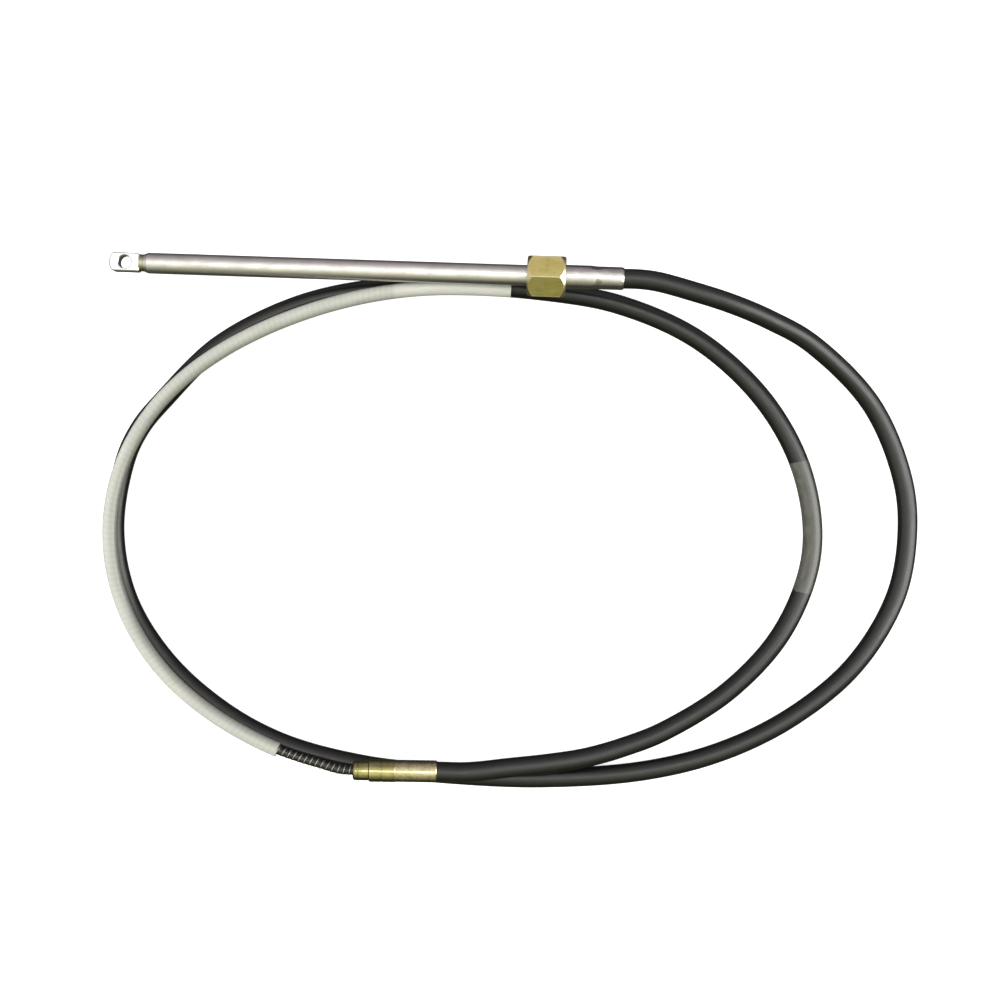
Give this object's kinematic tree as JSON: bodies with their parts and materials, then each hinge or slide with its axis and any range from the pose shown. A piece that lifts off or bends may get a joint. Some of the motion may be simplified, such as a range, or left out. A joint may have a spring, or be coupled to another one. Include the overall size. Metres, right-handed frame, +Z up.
{
  "type": "boat steering cable",
  "caption": "Mechanical boat steering cable laid in loose loops, with a sliding stainless ram and flat eye, captive brass nut, black casing, helm fitting and sleeved drive core.",
  "frame": {"origin": "on the floor that the cable lies on, under the middle of the whole cable", "axes": "+X along the long side of the loops, from the ram's eye towards the nut and the free loop; +Y from the helm fitting's side of the loops to the ram's side; +Z up from the floor"},
  "size_m": [0.629, 0.4123, 0.054],
  "materials": {
    "stainless": "drawn stainless tube, satin with fine lengthwise lines",
    "forged_stainless": "machined stainless, bright flats and a dark milled neck",
    "swaged_stainless": "swaged stainless with faint die marks",
    "nut_brass": "drawn hexagon brass, slightly tarnished flats and bright chamfers",
    "helm_brass": "turned and swaged brass, dull yellow",
    "black_casing": "extruded black plastic, soft sheen",
    "oiled_core": "oiled steel core with a wound helix",
    "translucent_sleeve": "cloudy translucent plastic tube"
  },
  "bodies": {
    "cable": {"casing": "black_casing", "output_ferrule": "swaged_stainless", "guide_tube": "stainless", "helm_fitting": "helm_brass", "drive_core": "oiled_core", "core_sleeve": "translucent_sleeve"},
    "ram": {"ram_tube": "stainless", "ram_eye": "forged_stainless", "push_rod": "stainless"},
    "nut": {"coupling_nut": "nut_brass"}
  },
  "joints": [
    {"name": "ram_slide", "type": "slide", "parent": "cable", "child": "ram", "axis": [-0.9979, 0.0401, -0.0506], "range_m": [0, 0.2286]},
    {"name": "nut_swivel", "type": "hinge", "parent": "cable", "child": "nut", "pos_m": [0.02657, 0.18601, 0.03654], "axis": [-0.9979, 0.0401, -0.0506], "continuous": true}
  ]
}
